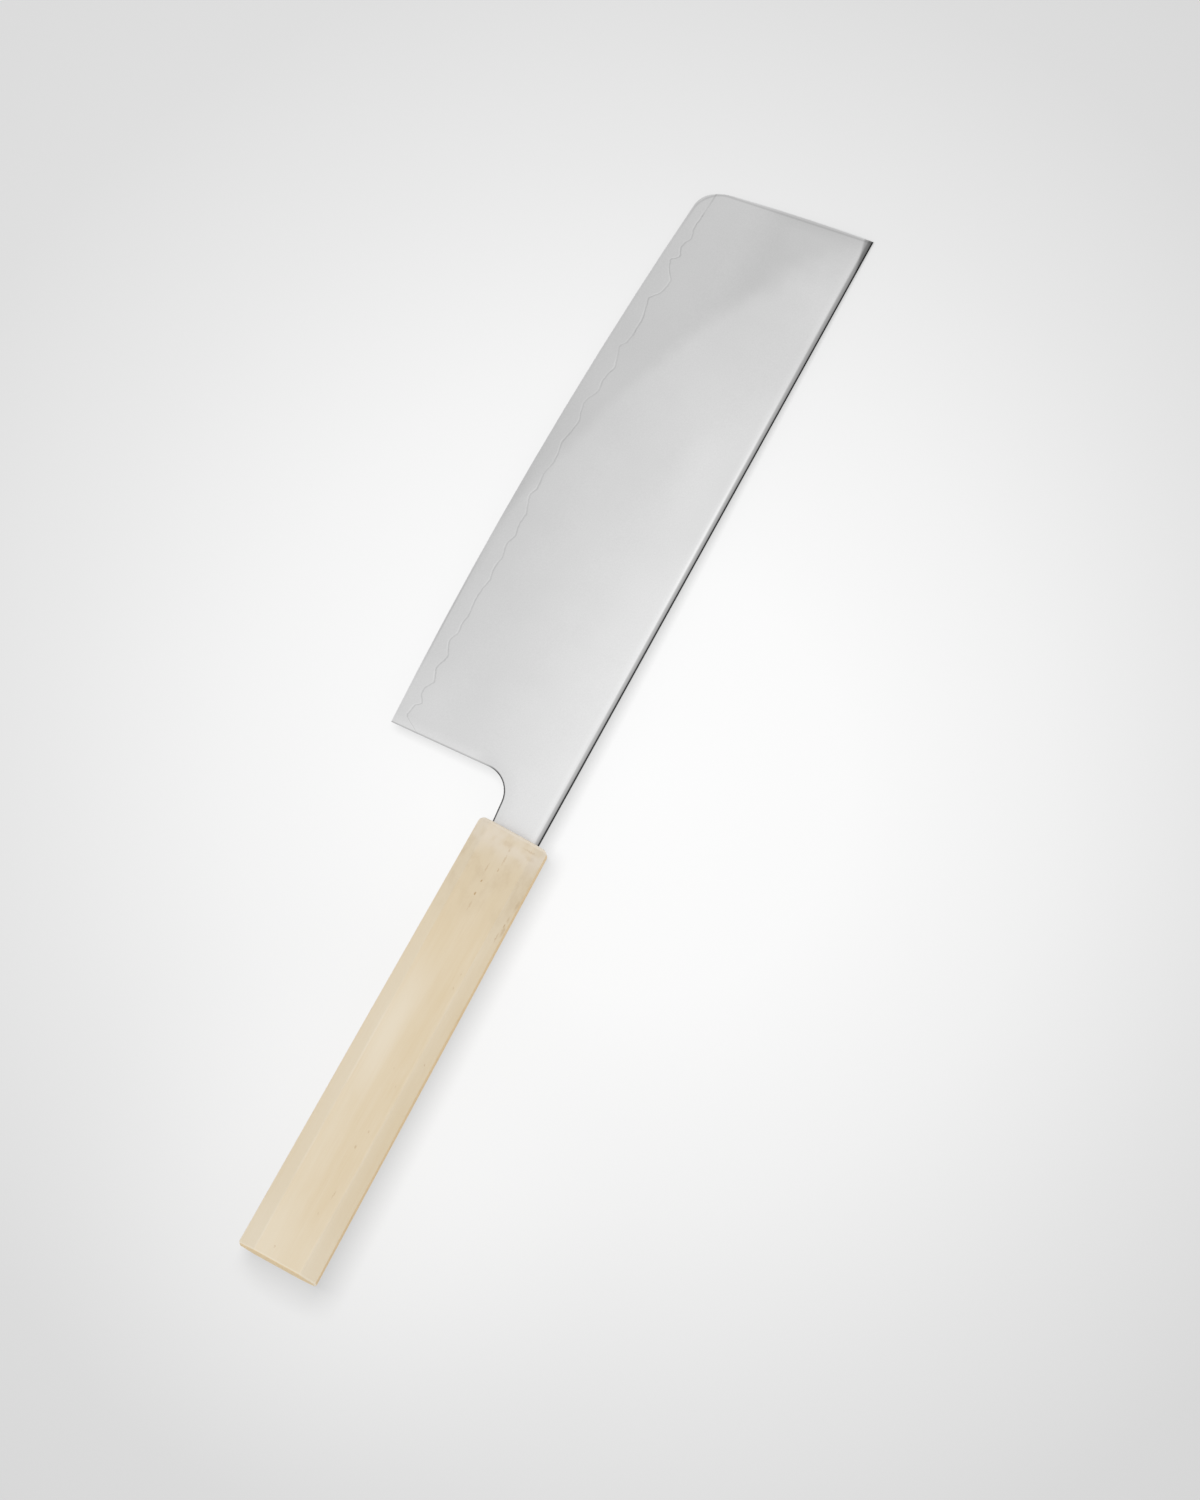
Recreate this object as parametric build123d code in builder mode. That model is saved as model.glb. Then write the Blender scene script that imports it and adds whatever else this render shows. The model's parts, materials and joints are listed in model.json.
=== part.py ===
from build123d import *
import math
import os

# A nakiri kitchen knife, in millimetres. Each piece is drawn in the knife's own frame and laid down
# at the end. There x runs from the handle to the tip, y from the spine to the cutting edge and z out
# of the blade's left face, with the handle's front face at x = 0 and the spine along y = 0.

# Outline of the blade
SPINE_LENGTH = 184.6
HEEL_X = 10.4
HEEL_DEPTH = 50.65
FRONT_LEAN = 8.8
NOSE_DEPTH = 46.25
EDGE_BELLY = 2.65
FRONT_BOW = 0.3
NOSE_ROUND_UP = 8.6
NOSE_ROUND_BACK = 6.0
NOSE_RUN_OUT = 0.05
NECK_DEPTH = 14.0
NECK_FLARE = 1.1
CHOIL_X = 13.1
CHOIL_RADIUS = 7.2

# Thickness of the blade
SPINE_AT_NECK = 3.0
SPINE_AT_MIDDLE = 2.2
SPINE_AT_TIP = 1.5
EDGE_SHOULDER = 0.36
BEVEL_WIDTH = 0.7
FACE_BULGE = 0.1
SPINE_EASE_WIDTH = 1.5
SPINE_EASE_DEPTH = 0.45
SPINE_ROUND = 0.3
SPINE_GRIND = 0.05

# Hard core steel and the soft cladding on each side of it
CORE_AT_SPINE = 0.9
CORE_AT_EDGE = 0.24
CORE_SHOWN = 4.6

# Tang
TANG_LENGTH = 95.0
TANG_ROOT_HEIGHT = 9.0
TANG_END_HEIGHT = 5.5
TANG_ROOT_THICKNESS = 2.3
TANG_END_THICKNESS = 1.6
TANG_END_ROUND = 2.0

# Handle, an octagon that grows towards the butt
HANDLE_LENGTH = 131.3
HANDLE_AXIS_Y = 7.0
FLAT_WIDTH = 14.0
SIDE_FLAT_WIDTH = 10.0
FRONT_WIDTH = 20.45
MIDDLE_WIDTH = 21.95
BUTT_WIDTH = 23.35
FRONT_THICKNESS = 17.0
BUTT_THICKNESS = 19.4
FACET_EDGE_ROUND = 0.6
FRONT_RIM_ROUND = 1.7
BUTT_RIM_ROUND = 0.7

# Fitting inside the handle
DOWEL_DIAMETER = 11.0
DOWEL_LENGTH = 102.0
SEAL_DEPTH = 1.5
GLUE_LINE = 0.1
BORE_END_SPACE = 1.0
DRILL_POINT = 3.2

# Cuts run this far past what they cut
OVERRUN = 3.0

# The lamination line on each face, from the heel to the nose: how far along the edge each bend lies,
# as a share of the edge length, and how far it stands from the edge, as a share of CORE_SHOWN
LEFT_LINE_SHARES = [
    (0.004, 1.65), (0.013, 1.09), (0.021, 0.63), (0.033, 0.74), (0.042, 0.78), (0.050, 1.16),
    (0.062, 0.83), (0.075, 0.85), (0.089, 1.22), (0.104, 0.99), (0.113, 0.89), (0.128, 1.13),
    (0.137, 1.19), (0.154, 0.92), (0.163, 0.84), (0.178, 1.11), (0.195, 1.02), (0.207, 1.13),
    (0.225, 1.10), (0.239, 1.05), (0.257, 1.09), (0.278, 1.25), (0.294, 1.12), (0.310, 1.15),
    (0.318, 1.24), (0.341, 1.05), (0.360, 1.29), (0.378, 1.14), (0.400, 1.21), (0.418, 0.94),
    (0.428, 0.83), (0.444, 1.03), (0.470, 0.90), (0.491, 1.07), (0.511, 1.04), (0.528, 0.88),
    (0.541, 0.98), (0.573, 1.14), (0.581, 0.98), (0.603, 0.80), (0.618, 1.01), (0.629, 1.20),
    (0.644, 1.07), (0.663, 1.14), (0.674, 1.29), (0.694, 1.05), (0.710, 0.82), (0.720, 1.12),
    (0.747, 1.14), (0.763, 1.14), (0.778, 1.01), (0.800, 0.76), (0.816, 1.21), (0.831, 1.31),
    (0.842, 1.32), (0.853, 0.93), (0.871, 0.59), (0.882, 1.03), (0.895, 0.73), (0.908, 0.80),
    (0.916, 1.01), (0.932, 0.76), (0.947, 0.77), (0.966, 0.76), (0.989, 0.74),
]
RIGHT_LINE_SHARES = [
    (0.006, 1.30), (0.022, 0.86), (0.041, 1.12), (0.058, 0.92), (0.081, 1.20), (0.103, 0.84),
    (0.124, 1.02), (0.150, 1.10), (0.171, 0.88), (0.196, 1.16), (0.222, 1.04), (0.243, 1.22),
    (0.268, 0.96), (0.297, 1.08), (0.319, 0.85), (0.345, 1.13), (0.376, 1.20), (0.398, 0.99),
    (0.427, 1.05), (0.452, 1.26), (0.478, 1.02), (0.509, 0.90), (0.533, 1.12), (0.566, 1.07),
    (0.589, 1.24), (0.613, 0.95), (0.640, 1.03), (0.668, 0.86), (0.691, 1.15), (0.722, 1.06),
    (0.749, 0.84), (0.772, 1.09), (0.801, 1.21), (0.829, 0.91), (0.851, 1.01), (0.878, 0.80),
    (0.903, 0.97), (0.931, 0.83), (0.958, 0.90), (0.985, 0.79),
]

# The cutting edge is one arc from the heel to the corner of the nose, bowed out by EDGE_BELLY
heel = Vector(HEEL_X, HEEL_DEPTH)
nose = Vector(SPINE_LENGTH - FRONT_LEAN, NOSE_DEPTH)
edge_chord = nose - heel
edge_radius = (edge_chord.length**2 / 4 + EDGE_BELLY**2) / (2 * EDGE_BELLY)
edge_normal = Vector(-edge_chord.Y, edge_chord.X).normalized()
edge_centre = (heel + nose) / 2 - edge_normal * (edge_radius - EDGE_BELLY)


def edge_depth(x):
    """How far the cutting edge lies from the spine line at x."""
    return edge_centre.Y + math.sqrt(edge_radius**2 - (x - edge_centre.X) ** 2)


def across(x):
    """The plane across the knife at x, with its own x towards the edge and its y out of the left face."""
    return Plane(origin=(x, 0, 0), x_dir=(0, 1, 0), z_dir=(1, 0, 0))


def tang(clearance):
    """The tang, or with a clearance the pocket that holds it."""
    with BuildPart() as body:
        with BuildSketch(across(0)):
            with Locations((HANDLE_AXIS_Y, 0)):
                Rectangle(TANG_ROOT_HEIGHT + 2 * clearance, TANG_ROOT_THICKNESS + 2 * clearance)
        with BuildSketch(across(-TANG_LENGTH - clearance)):
            with Locations((HANDLE_AXIS_Y, 0)):
                Rectangle(TANG_END_HEIGHT + 2 * clearance, TANG_END_THICKNESS + 2 * clearance)
        loft()
        tang_end = body.faces().sort_by(Axis.X)[0]
        fillet(tang_end.edges().group_by(SortBy.LENGTH)[0], TANG_END_ROUND)
    return body.part


# Forged blank: blade and tang in one, before it is told apart into its three layers
blade_stations = [
    (-OVERRUN, SPINE_AT_NECK),
    (SPINE_LENGTH / 2, SPINE_AT_MIDDLE),
    (SPINE_LENGTH + OVERRUN, SPINE_AT_TIP),
]
with BuildPart() as blank:
    for x, spine_thickness in blade_stations:
        with BuildSketch(across(x)) as cross_section:
            with BuildLine():
                ease_end = (SPINE_EASE_WIDTH, spine_thickness / 2)
                spine_corner = (-SPINE_GRIND, spine_thickness / 2 - SPINE_EASE_DEPTH)
                shoulder = (edge_depth(x) - BEVEL_WIDTH, EDGE_SHOULDER / 2)
                face = SagittaArc(ease_end, shoulder, FACE_BULGE)
                TangentArc(ease_end, spine_corner, tangent=-(face % 0))
                Line(shoulder, (edge_depth(x), 0))
                Line(spine_corner, (-SPINE_GRIND, 0))
                mirror(about=Plane.XZ)
            make_face()
            fillet(cross_section.vertices().group_by(Axis.X)[0], SPINE_ROUND)
    loft()
    with BuildSketch(Plane.XY.offset(-SPINE_AT_NECK)):
        with BuildLine():
            tip = Vector(SPINE_LENGTH, 0)
            nose_start = tip + (nose - tip) * (1 - NOSE_ROUND_UP / NOSE_DEPTH)
            nose_end_x = nose.X - NOSE_ROUND_BACK
            nose_end = Vector(nose_end_x, edge_depth(nose_end_x) + NOSE_RUN_OUT)
            choil_corner = Vector(CHOIL_X, NECK_DEPTH + NECK_FLARE)
            below_heel = heel + (heel - choil_corner).normalized() * OVERRUN
            SagittaArc(tip, nose_start, -FRONT_BOW)
            Bezier(nose_start, nose, nose_end)
            beyond_edge = below_heel.Y + EDGE_BELLY
            Polyline(nose_end, (nose_end.X, beyond_edge), (below_heel.X, beyond_edge), below_heel)
            FilletPolyline(below_heel, choil_corner, (0, NECK_DEPTH), radius=CHOIL_RADIUS)
            Polyline((0, NECK_DEPTH), (0, 0), tip)
        make_face()
    extrude(amount=2 * SPINE_AT_NECK, mode=Mode.INTERSECT)
    add(tang(0))

# The core's own wedge, which thins towards the edge as the blade does
with BuildPart() as core_layer:
    for x in (-TANG_LENGTH - OVERRUN, 0, SPINE_LENGTH / 2, SPINE_LENGTH + OVERRUN):
        with BuildSketch(across(x)):
            with BuildLine():
                Polyline(
                    (-OVERRUN, -CORE_AT_SPINE / 2),
                    (-OVERRUN, CORE_AT_SPINE / 2),
                    (0, CORE_AT_SPINE / 2),
                    (edge_depth(x), CORE_AT_EDGE / 2),
                    (edge_depth(x), -CORE_AT_EDGE / 2),
                    (0, -CORE_AT_SPINE / 2),
                    close=True,
                )
            make_face()
    loft(ruled=True)


def clad_room(line_shares, reach):
    """The space beside the core layer, down to the lamination line and out to reach."""
    line = []
    for along_share, rise_share in line_shares:
        x = HEEL_X + along_share * (nose.X - HEEL_X)
        line.append(Vector(x, edge_depth(x) - rise_share * CORE_SHOWN))
    behind = -TANG_LENGTH - OVERRUN
    beyond = SPINE_LENGTH + OVERRUN
    with BuildPart() as room:
        with BuildSketch():
            with BuildLine():
                Spline(*line)
                Polyline(
                    line[-1],
                    (beyond, line[-1].Y),
                    (beyond, -OVERRUN),
                    (behind, -OVERRUN),
                    (behind, line[0].Y),
                    line[0],
                )
            make_face()
        extrude(amount=reach)
        add(core_layer.part, mode=Mode.SUBTRACT)
    return room.part


left_room = clad_room(LEFT_LINE_SHARES, SPINE_AT_NECK)
right_room = clad_room(RIGHT_LINE_SHARES, -SPINE_AT_NECK)

with BuildPart() as cladding_left:
    add(blank.part)
    add(left_room, mode=Mode.INTERSECT)

with BuildPart() as cladding_right:
    add(blank.part)
    add(right_room, mode=Mode.INTERSECT)

# Core steel: the middle layer of blade and tang, and all of the blade below the lamination lines
with BuildPart() as core_steel:
    add(blank.part)
    add(left_room, mode=Mode.SUBTRACT)
    add(right_room, mode=Mode.SUBTRACT)

# Handle, in one piece of wood: its barrelled plan and its wedge-shaped side view cross in a tapered
# bar, and four flat cuts give it its slanted facets
bore_radius = DOWEL_DIAMETER / 2 + GLUE_LINE
bore_depth = SEAL_DEPTH + DOWEL_LENGTH + BORE_END_SPACE
with BuildPart() as handle:
    with BuildSketch(Plane.XY.offset(-BUTT_THICKNESS / 2)):
        with BuildLine():
            Line((0, HANDLE_AXIS_Y), (0, HANDLE_AXIS_Y + FRONT_WIDTH / 2))
            ThreePointArc(
                (0, HANDLE_AXIS_Y + FRONT_WIDTH / 2),
                (-HANDLE_LENGTH / 2, HANDLE_AXIS_Y + MIDDLE_WIDTH / 2),
                (-HANDLE_LENGTH, HANDLE_AXIS_Y + BUTT_WIDTH / 2),
            )
            Line((-HANDLE_LENGTH, HANDLE_AXIS_Y + BUTT_WIDTH / 2), (-HANDLE_LENGTH, HANDLE_AXIS_Y))
            mirror(about=Plane.XZ.offset(-HANDLE_AXIS_Y))
        make_face()
    extrude(amount=BUTT_THICKNESS)
    with BuildSketch(Plane.XZ.offset(-HANDLE_AXIS_Y - BUTT_WIDTH)):
        with BuildLine():
            Polyline(
                (0, FRONT_THICKNESS / 2),
                (0, -FRONT_THICKNESS / 2),
                (-HANDLE_LENGTH, -BUTT_THICKNESS / 2),
                (-HANDLE_LENGTH, BUTT_THICKNESS / 2),
                close=True,
            )
        make_face()
    extrude(amount=2 * BUTT_WIDTH, mode=Mode.INTERSECT)
    for edge_side in (1, -1):
        for left_side in (1, -1):
            flat_y = HANDLE_AXIS_Y + edge_side * FLAT_WIDTH / 2
            flat_front = Vector(0, flat_y, left_side * FRONT_THICKNESS / 2)
            flat_butt = Vector(-HANDLE_LENGTH, flat_y, left_side * BUTT_THICKNESS / 2)
            side_y = HANDLE_AXIS_Y + edge_side * FRONT_WIDTH / 2
            side_front = Vector(0, side_y, left_side * SIDE_FLAT_WIDTH / 2)
            outward = (side_front - flat_front).cross(flat_butt - flat_front) * edge_side * left_side
            split(bisect_by=Plane(origin=flat_front, z_dir=outward), keep=Keep.BOTTOM)
    front_rim = handle.faces().sort_by(Axis.X)[-1].edges()
    butt_rim = handle.faces().sort_by(Axis.X)[0].edges()
    fillet(handle.edges() - front_rim - butt_rim, FACET_EDGE_ROUND)
    fillet(handle.faces().sort_by(Axis.X)[-1].edges(), FRONT_RIM_ROUND)
    fillet(handle.faces().sort_by(Axis.X)[0].edges(), BUTT_RIM_ROUND)
    with BuildSketch():
        with BuildLine():
            Polyline(
                (0, HANDLE_AXIS_Y),
                (0, HANDLE_AXIS_Y + bore_radius),
                (-bore_depth, HANDLE_AXIS_Y + bore_radius),
                (-bore_depth - DRILL_POINT, HANDLE_AXIS_Y),
                close=True,
            )
        make_face()
    revolve(axis=Axis((0, HANDLE_AXIS_Y, 0), (1, 0, 0)), mode=Mode.SUBTRACT)

# Split dowel of soft wood that grips the tang inside the bore
with BuildPart() as dowel:
    with BuildSketch(across(-SEAL_DEPTH)):
        with Locations((HANDLE_AXIS_Y, 0)):
            Circle(DOWEL_DIAMETER / 2)
    extrude(amount=-DOWEL_LENGTH)
    add(tang(GLUE_LINE), mode=Mode.SUBTRACT)

with BuildPart() as tang_dowel_left:
    add(dowel.part)
    split(bisect_by=Plane.XY, keep=Keep.TOP)

with BuildPart() as tang_dowel_right:
    add(dowel.part)
    split(bisect_by=Plane.XY, keep=Keep.BOTTOM)

# Resin that closes the mouth of the bore round the tang, flush with the handle's front
with BuildPart() as mouth_seal:
    with BuildSketch(across(0)):
        with Locations((HANDLE_AXIS_Y, 0)):
            Circle(bore_radius - GLUE_LINE)
    extrude(amount=-SEAL_DEPTH)
    add(tang(GLUE_LINE), mode=Mode.SUBTRACT)

# The knife lies on its right side, on the handle's front rim, the tip of the spine and the nose
rim_rest = Vector(-FRONT_RIM_ROUND, HANDLE_AXIS_Y + FLAT_WIDTH / 2, -FRONT_THICKNESS / 2)
tip_rest = Vector(SPINE_LENGTH, 0, -SPINE_AT_TIP / 2)
nose_rest = Vector(nose_start.X, nose_start.Y, -EDGE_SHOULDER)
table_normal = (tip_rest - rim_rest).cross(nose_rest - rim_rest)
table = Plane(origin=rim_rest, x_dir=(1, 0, 0), z_dir=table_normal)
laid = table.location.inverse()

pieces = {
    "core_steel": core_steel.part,
    "cladding_left": cladding_left.part,
    "cladding_right": cladding_right.part,
    "handle": handle.part,
    "tang_dowel_left": tang_dowel_left.part,
    "tang_dowel_right": tang_dowel_right.part,
    "mouth_seal": mouth_seal.part,
}
space = Compound(children=[piece.moved(laid) for piece in pieces.values()]).bounding_box()
under_middle = Vector(space.center().X, space.center().Y, space.min.Z)
resting = Location(-under_middle) * laid

os.makedirs("parts", exist_ok=True)
for name, piece in pieces.items():
    laid_piece = piece.moved(resting)
    laid_piece.label = name
    export_step(laid_piece, "parts/" + name + ".step")
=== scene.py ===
import bpy
import json
import math
from mathutils import Matrix, Vector

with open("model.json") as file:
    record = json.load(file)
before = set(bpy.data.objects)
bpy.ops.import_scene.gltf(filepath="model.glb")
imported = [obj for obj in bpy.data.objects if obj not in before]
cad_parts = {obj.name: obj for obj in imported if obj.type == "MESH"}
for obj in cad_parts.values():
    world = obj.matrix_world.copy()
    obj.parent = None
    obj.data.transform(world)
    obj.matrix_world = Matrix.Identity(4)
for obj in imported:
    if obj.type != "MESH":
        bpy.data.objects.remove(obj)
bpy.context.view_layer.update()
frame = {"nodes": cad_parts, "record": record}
nodes = frame["nodes"]

MM = 0.001

# Below, a ramp is written as where it starts and ends, and then its values there unless they are 0 and 1,
# a spot as its middle and its reach, and a noise as the size of its lumps and its other settings

# Sizes of the knife in millimetres: x runs from the handle's front to the tip, y from the spine to the
# edge, and z out of the left face
SPINE_LENGTH = 184.6
HEEL_X = 10.4
HEEL_DEPTH = 50.65
FRONT_LEAN = 8.8
NOSE_X = SPINE_LENGTH - FRONT_LEAN
NOSE_DEPTH = 46.25
NOSE_ROUND = 6.5
EDGE_BELLY = 2.65
NECK_DEPTH = 14.0
NECK_FLARE = 1.1
CHOIL_X = 13.1
CHOIL_RADIUS = 7.2
CORE_SHOWN = 4.6
HANDLE_LENGTH = 131.3
HANDLE_AXIS_Y = 7.0
FLAT_WIDTH = 14.0

# The photograph: its pixels, their scale, the place on the knife that is its middle, and the knife's angle
PHOTO_HEIGHT = 1500
MM_PER_PIXEL = 4 / 15
PHOTO_CENTRE = (30.7, -1.8)
KNIFE_ANGLE = math.radians(61.1)

# The camera: how far it leans, and its height over the picture's middle in metres
CAMERA_LEAN = math.radians(2.0)
CAMERA_HEIGHT = 1.5

# The room: its brightness for matt surfaces, for the camera, and from the horizon up for polished ones
WORLD_LIGHT = 0.98
WORLD_SEEN = 0.66
ROOM_AT_HORIZON = 0.5
ROOM_OVERHEAD = 0.98
ROOM_RISE = (0.05, 0.8)
WHITE = (1.0, 1.0, 1.0, 1.0)

# The lamps: their size and their place from the picture's middle, in metres, and their power in watts
LAMP_LENGTH = 0.6
LAMP_WIDTH = 0.55
LAMP_TO_EDGE = 0.29
LAMP_TO_TIP = 0.08
LAMP_HEIGHT = 1.25
KEY_WATTS = 1.0
FLOOR_KEY_WATTS = 52.0

# The range that noise mostly keeps to, and how a screen shows a colour
NOISE_RANGE = (0.25, 0.75)
SCREEN_WHITE = 255.0
SCREEN_GAMMA = 2.2

# The floor: its size in metres, and how much of its brightness the lamps give and how much is its own
FLOOR_SIZE = 6.0
FLOOR_MATT = 0.09
FLOOR_GLOW = 0.67

# The floor's brightness, in the knife's millimetres: a painted pool of light that fades away from a centre, a
# little slower up the picture than across it, and is raised round the butt as painted light that lightens the
# shadow there
FLOOR_CENTRE = (28.8, -16.0)
FLOOR_REACH = 300.0
FLOOR_UPWARD_SHARE = 0.95
FLOOR_LEVEL_SHARES = [
    (0.0, 0.97), (0.18, 0.955), (0.36, 0.885), (0.53, 0.795), (0.71, 0.715), (0.85, 0.69), (1.0, 0.68),
]
BUTT_LIGHT_X = -115.0
BUTT_LIGHT = (0.0, 85.0, 1.065, 1.0)

# The lamination line on each face: how far along the edge each bend lies, as a share of the edge's
# length, and how far it stands from the edge, as a share of CORE_SHOWN
LEFT_LINE_SHARES = [
    (0.004, 1.65), (0.013, 1.09), (0.021, 0.63), (0.033, 0.74), (0.042, 0.78), (0.050, 1.16),
    (0.062, 0.83), (0.075, 0.85), (0.089, 1.22), (0.104, 0.99), (0.113, 0.89), (0.128, 1.13),
    (0.137, 1.19), (0.154, 0.92), (0.163, 0.84), (0.178, 1.11), (0.195, 1.02), (0.207, 1.13),
    (0.225, 1.10), (0.239, 1.05), (0.257, 1.09), (0.278, 1.25), (0.294, 1.12), (0.310, 1.15),
    (0.318, 1.24), (0.341, 1.05), (0.360, 1.29), (0.378, 1.14), (0.400, 1.21), (0.418, 0.94),
    (0.428, 0.83), (0.444, 1.03), (0.470, 0.90), (0.491, 1.07), (0.511, 1.04), (0.528, 0.88),
    (0.541, 0.98), (0.573, 1.14), (0.581, 0.98), (0.603, 0.80), (0.618, 1.01), (0.629, 1.20),
    (0.644, 1.07), (0.663, 1.14), (0.674, 1.29), (0.694, 1.05), (0.710, 0.82), (0.720, 1.12),
    (0.747, 1.14), (0.763, 1.14), (0.778, 1.01), (0.800, 0.76), (0.816, 1.21), (0.831, 1.31),
    (0.842, 1.32), (0.853, 0.93), (0.871, 0.59), (0.882, 1.03), (0.895, 0.73), (0.908, 0.80),
    (0.916, 1.01), (0.932, 0.76), (0.947, 0.77), (0.966, 0.76), (0.989, 0.74),
]
RIGHT_LINE_SHARES = [
    (0.006, 1.30), (0.022, 0.86), (0.041, 1.12), (0.058, 0.92), (0.081, 1.20), (0.103, 0.84),
    (0.124, 1.02), (0.150, 1.10), (0.171, 0.88), (0.196, 1.16), (0.222, 1.04), (0.243, 1.22),
    (0.268, 0.96), (0.297, 1.08), (0.319, 0.85), (0.345, 1.13), (0.376, 1.20), (0.398, 0.99),
    (0.427, 1.05), (0.452, 1.26), (0.478, 1.02), (0.509, 0.90), (0.533, 1.12), (0.566, 1.07),
    (0.589, 1.24), (0.613, 0.95), (0.640, 1.03), (0.668, 0.86), (0.691, 1.15), (0.722, 1.06),
    (0.749, 0.84), (0.772, 1.09), (0.801, 1.21), (0.829, 0.91), (0.851, 1.01), (0.878, 0.80),
    (0.903, 0.97), (0.931, 0.83), (0.958, 0.90), (0.985, 0.79),
]

# More than the tallest bend, as a share of CORE_SHOWN, and where the left face gives way to the right
TALLEST_SHARE = 2.0
FACE_CHANGE = (-0.01, 0.01)

# Greys of the polished faces, a painted reflection: from the spine to the edge, then what each area adds:
# painted shade towards the tip and front, a painted shade cloud, a painted sheen, and random tone and grain
SPINE_TO_EDGE = (0.0, 50.0, 234.0, 205.0)
TIP_SHADE_X = (54.0, 121.0)
TIP_SHADE_Y = (0.0, 45.0, -11.0, 0.0)
FRONT_SHADE_X = (123.0, 150.0)
FRONT_SHADE_Y = (22.0, 32.0, -6.0, 0.0)
SHADE_CLOUD_START = 173.3
SHADE_CLOUD_BEND = 0.0383
SHADE_CLOUD_SWAY = {"size": 9.0, "amount": 3.0}
SHADE_CLOUD_RISE = (-6.5, 9.0)
SHADE_CLOUD_Y = (21.0, 40.0, -13.0, -7.0)
SHEEN_X = (109.0, 20.0)
SHEEN_Y = (11.5, 9.0)
SHEEN_LIGHT = 5.0
PATCH_SWAY = {"size": 14.0, "amount": 1.6, "detail": 3.0}
GRAIN_SWAY = {"size": 0.35, "amount": 2.4, "detail": 1.0}

# The lamination line on the steel: a dark line, a painted glint beside it, each stronger in places, and a
# step
LINE_SWAY = {"size": 1.2, "amount": 0.12, "detail": 3.0}
LINE_WIDTH = (0.0, 0.32)
LINE_SHADE = -18.0
LINE_PLACES = {"size": 7.0, "seed": 3.0}
LINE_STRENGTH = (0.3, 0.65, 0.45, 1.0)
GLINT_WIDTH = (-0.38, 0.3)
GLINT_LIGHT = 8.0
GLINT_PLACES = {"size": 5.0, "seed": 8.0}
GLINT_STRENGTH = (0.35, 0.62, 0.15, 1.0)
LINE_STEP = (-0.15, 0.15)

# Painted shade and painted light along the blade's outline, by the distance inside it, and along its spine
FRONT_RIM = (0.45, 0.45)
FRONT_RIM_X = (160.0, 175.0)
EDGE_RIM = (0.3, 0.4)
EDGE_RIM_X = (44.0, 26.0)
RIM_SHADE = -16.0
BEVEL_SHADE_BAND = (0.6, 2.6, -4.0, 0.0)
BEVEL_SHADE_BAND_X = (72.0, 45.0)
TIP_BAND = (0.4, 4.0, -6.0, 0.0)
TIP_BAND_Y = (36.0, 12.0)
HEEL_BAND = (0.4, 3.6, 6.0, 0.0)
HEEL_BAND_Y = (22.0, 28.0)
CHOIL_BAND = (0.5, 4.5, -4.0, 0.0)
CHOIL_BAND_Y = (28.0, 22.0)
HEEL_SIDE_X = (12.0, 62.0, 6.0, 0.0)
HEEL_SIDE_Y = (30.0, 44.0)
LIGHT_STRIPE_X = (98.0, 50.0)
LIGHT_STRIPE_Y = (1.5, 0.8)
LIGHT_STRIPE = 14.0
TIP_STRIPE_X = (125.0, 172.0, 0.0, -12.0)
TIP_STRIPE_Y = (1.9, 1.1)
NECK_STRIPE_X = (46.0, 30.0)
NECK_STRIPE_Y = (1.5, 0.6)
NECK_STRIPE = -6.0

# Painted shades that multiply the greys: across the eased spine, in the choil, at the tip and on the sides
SPINE_BAND = (0.0, 3.2)
SPINE_LIGHT_SHARES = [
    (0.0, 0.2), (0.075, 0.23), (0.125, 0.62), (0.18, 0.745), (0.26, 0.775), (0.34, 0.83),
    (0.40, 0.93), (0.46, 1.01), (0.7, 1.0), (1.0, 0.985),
]
STEEL_BRIGHTNESS = 1.015
CHOIL_DARK = (0.1, 0.5, 1.0, 0.0)
CHOIL_DARK_Y = (18.0, 23.0, 0.75, 0.15)
CORNER_X = 173.5
CORNER_WIDTH = 2.6
CORNER_FADE = 2.0
CORNER_DARK = (-0.6, 0.3, 0.2, 0.0)
SIDE_SHADE = (0.05, 0.5, 0.66, 1.0)

# The finish of the steel
CLADDING_ROUGHNESS = 0.38
CORE_ROUGHNESS = 0.34
ROUGHNESS_SPREAD = 0.03
STEEL_GRAIN = {"size": 0.22, "detail": 2.0, "roughness": 0.6}
STEEL_GRAIN_RANGE = (0.2, 0.8)
STEEL_RELIEF = 0.003

# The handle's wood: its colours, streaks, lumps and fibres
PALE_WOOD = (222, 207, 181)
DEEP_WOOD = (215, 196, 162)
COOL_WOOD = (229, 218, 198)
FIBRE_WOOD = (209, 186, 148)
STREAKS = {"size": 2.4, "detail": 4.0, "roughness": 0.55, "along": 22.0}
STREAK_RAMP = (0.3, 0.7, 0.3, 0.65)
LUMPS = {"size": 9.0, "detail": 3.0, "along": 2.5, "seed": 5.0}
LUMP_RAMP = (0.4, 0.65, 0.0, 0.45)
FIBRES = {"size": 0.3, "detail": 2.0, "along": 30.0, "seed": 2.0}
FIBRE_RAMP = (0.35, 0.75, 0.0, 0.2)
WOOD_ROUGHNESS = (0.2, 0.8, 0.5, 0.6)
FIBRE_HEIGHT = 0.25
PIT_HEIGHT = -0.4
WOOD_RELIEF = 0.06

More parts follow.
